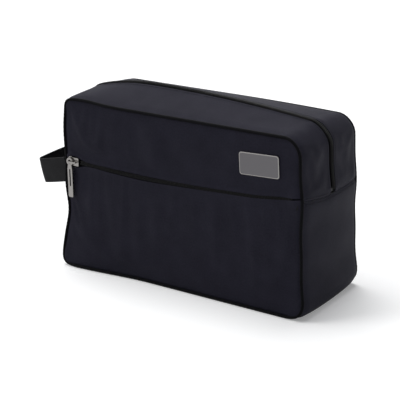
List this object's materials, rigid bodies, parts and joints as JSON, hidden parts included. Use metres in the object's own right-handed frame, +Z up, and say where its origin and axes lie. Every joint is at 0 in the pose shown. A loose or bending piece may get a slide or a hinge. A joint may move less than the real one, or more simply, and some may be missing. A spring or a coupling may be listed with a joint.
{
  "type": "toiletry bag",
  "caption": "Soft zipped toiletry bag: rounded box of woven cloth with piped edges, a zip over the top, a zipped front pocket, a metal badge plate and a side grab loop.",
  "frame": {"origin": "middle of the flat base, on the surface the bag stands on", "axes": "+X along the bag's length, away from the grab loop; +Y towards the back panel; +Z up"},
  "size_m": [0.2965, 0.105, 0.1774],
  "materials": {
    "outer_cloth": "woven nylon, blue-black, slight sheen",
    "piping_cloth": "narrow woven tape over a cord",
    "lining_cloth": "thin woven lining",
    "foam": "soft sheet foam between cloths",
    "binding_tape": "folded binding tape",
    "zip_tape": "herringbone zip tape",
    "zip_coil": "moulded coil teeth",
    "zip_metal": "nickel plate, slightly worn",
    "webbing": "ribbed webbing",
    "badge_metal": "brushed plate, bare"
  },
  "bodies": {
    "bag": {"front_upper_panel": "outer_cloth", "front_pocket_panel": "outer_cloth", "back_panel": "outer_cloth", "lower_gusset": "outer_cloth", "gusset_end_front": "outer_cloth", "gusset_end_back": "outer_cloth", "pocket_back_panel": "lining_cloth", "front_lining": "lining_cloth", "back_lining": "lining_cloth", "lower_gusset_lining": "lining_cloth", "gusset_end_lining_front": "lining_cloth", "gusset_end_lining_back": "lining_cloth", "front_padding": "foam", "back_padding": "foam", "lower_gusset_padding": "foam", "front_piping": "piping_cloth", "back_piping": "piping_cloth", "front_seam_binding": "binding_tape", "back_seam_binding": "binding_tape", "pocket_zip_tape_upper": "zip_tape", "pocket_zip_tape_lower": "zip_tape", "main_zip_tape_ends_front": "zip_tape", "main_zip_tape_ends_back": "zip_tape", "pocket_zip_teeth_upper": "zip_coil", "pocket_zip_teeth_lower": "zip_coil", "main_zip_teeth_ends_front": "zip_coil", "main_zip_teeth_ends_back": "zip_coil", "pocket_zip_stops": "zip_metal", "main_zip_stops": "zip_metal", "handle_anchor_front": "webbing", "handle_anchor_back": "webbing", "badge": "badge_metal", "badge_backing": "badge_metal"},
    "top_front": {"top_flap_front": "outer_cloth", "top_lining_front": "lining_cloth", "main_zip_tape_front": "zip_tape", "main_zip_teeth_front": "zip_coil"},
    "top_back": {"top_flap_back": "outer_cloth", "top_lining_back": "lining_cloth", "main_zip_tape_back": "zip_tape", "main_zip_teeth_back": "zip_coil"},
    "main_slider": {"main_slider": "zip_metal"},
    "main_puller": {"main_puller": "zip_metal"},
    "pocket_slider": {"pocket_slider": "zip_metal"},
    "pocket_puller": {"pocket_puller": "zip_metal"},
    "handle": {"handle_strap": "webbing"}
  },
  "joints": [
    {"name": "top_front_opens", "type": "hinge", "parent": "bag", "child": "top_front", "pos_m": [0, -0.0461, 0.165], "axis": [1, 0, 0], "range_deg": [0, 80]},
    {"name": "top_back_opens", "type": "hinge", "parent": "bag", "child": "top_back", "pos_m": [0, 0.0461, 0.165], "axis": [-1, 0, 0], "range_deg": [0, 80]},
    {"name": "main_slider_runs", "type": "slide", "parent": "bag", "child": "main_slider", "axis": [0, 0, 1], "range_m": [0, 0.026], "deforming": ["main_zip_teeth_ends_front", "main_zip_teeth_ends_back"]},
    {"name": "main_puller_swings", "type": "hinge", "parent": "main_slider", "child": "main_puller", "pos_m": [-0.1334, 0, 0.1141], "axis": [0, 1, 0], "range_deg": [0, 30]},
    {"name": "pocket_slider_runs", "type": "slide", "parent": "bag", "child": "pocket_slider", "axis": [1, 0, 0], "range_m": [0, 0.23], "deforming": ["pocket_zip_teeth_upper", "pocket_zip_teeth_lower"]},
    {"name": "pocket_puller_swings", "type": "hinge", "parent": "pocket_slider", "child": "pocket_puller", "pos_m": [-0.12, -0.0526, 0.105], "axis": [0, 1, 0], "range_deg": [-40, 100]},
    {"name": "handle_swings", "type": "hinge", "parent": "bag", "child": "handle", "pos_m": [-0.1312, 0, 0.0935], "axis": [0, -1, 0], "range_deg": [-60, 25]}
  ]
}
